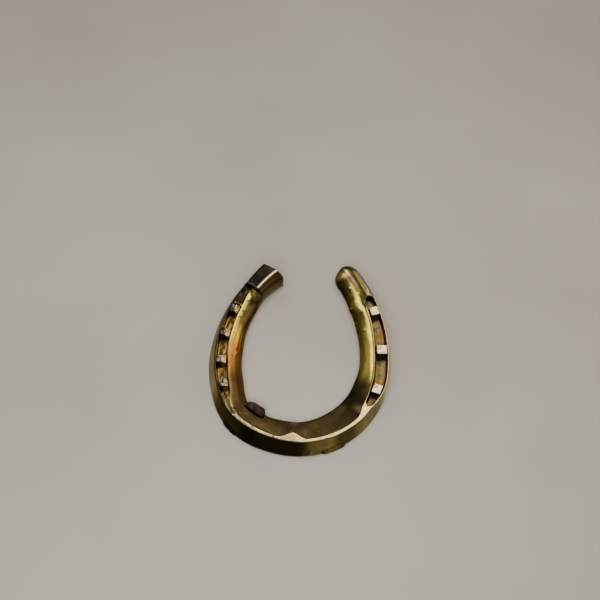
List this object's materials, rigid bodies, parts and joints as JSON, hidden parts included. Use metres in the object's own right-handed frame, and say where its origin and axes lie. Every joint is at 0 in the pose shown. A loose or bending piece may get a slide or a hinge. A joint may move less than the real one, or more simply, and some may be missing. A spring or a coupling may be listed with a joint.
{
  "type": "horseshoe",
  "caption": "Brass horseshoe with a concave grooved web, square heads of nails in both branches, a raised block on one heel and a rounded tip on the other.",
  "frame": {"origin": "middle of the shoe's bounding box, on the flat hoof side", "axes": "+Z from the hoof side to the ground side, -Y towards the toe, -X towards the outer branch with the raised heel"},
  "size_m": [0.125, 0.1442, 0.0165],
  "materials": {
    "shoe_brass": "polished cast brass with olive and copper-orange patina",
    "nail_brass": "polished brass, worn bright on the edges",
    "lug_dark": "dark brown patinated brass, rough"
  },
  "bodies": {
    "root": {"shoe": "shoe_brass", "outer_nail_1": "nail_brass", "outer_nail_2": "nail_brass", "outer_nail_3": "nail_brass", "outer_nail_4": "nail_brass", "inner_nail_1": "nail_brass", "inner_nail_2": "nail_brass", "inner_nail_3": "nail_brass", "fixing_lug": "lug_dark"}
  },
  "joints": []
}
